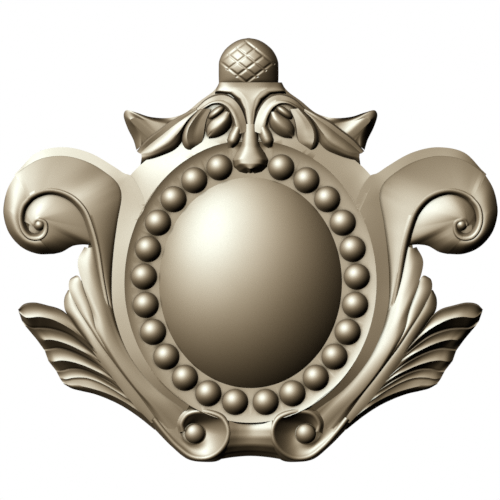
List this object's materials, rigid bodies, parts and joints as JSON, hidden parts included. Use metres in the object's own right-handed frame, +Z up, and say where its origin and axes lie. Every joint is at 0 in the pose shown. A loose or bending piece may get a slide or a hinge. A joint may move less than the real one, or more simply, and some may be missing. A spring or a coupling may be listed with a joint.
{
  "type": "carved cartouche ornament",
  "caption": "Carved cartouche with an oval dome in a ring of beads, flanked by scrolls, feathered wings and a crest with a finial.",
  "frame": {"origin": "on the flat back face, behind the middle of the oval dome", "axes": "+Z up, +X to the viewer's right, +Y into the wall; the carved front faces -Y"},
  "size_m": [0.3, 0.0409, 0.2574],
  "materials": {
    "body": "satin antique brass, darker in the recesses"
  },
  "bodies": {
    "root": {"cartouche": "body"}
  },
  "joints": []
}
